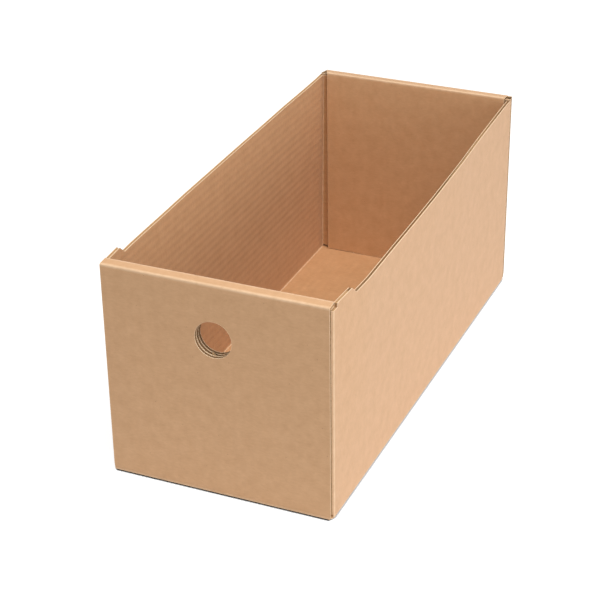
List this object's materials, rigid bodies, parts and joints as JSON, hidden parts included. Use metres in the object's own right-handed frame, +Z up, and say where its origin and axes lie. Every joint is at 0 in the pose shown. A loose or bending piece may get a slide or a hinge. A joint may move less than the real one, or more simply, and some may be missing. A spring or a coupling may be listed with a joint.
{
  "type": "cardboard storage box",
  "caption": "Long open-topped storage box folded from one sheet of corrugated board, with rolled end walls, lowered sides and a round finger hole in the front.",
  "frame": {"origin": "middle of the underside", "axes": "+Z up, -Y out of the front wall with the finger hole, +X to the right when the box is seen from the front"},
  "size_m": [0.16, 0.365, 0.1585],
  "materials": {
    "kraft_board": "matte brown kraft liner on corrugated board"
  },
  "bodies": {
    "root": {"folded_box": "kraft_board"}
  },
  "joints": []
}
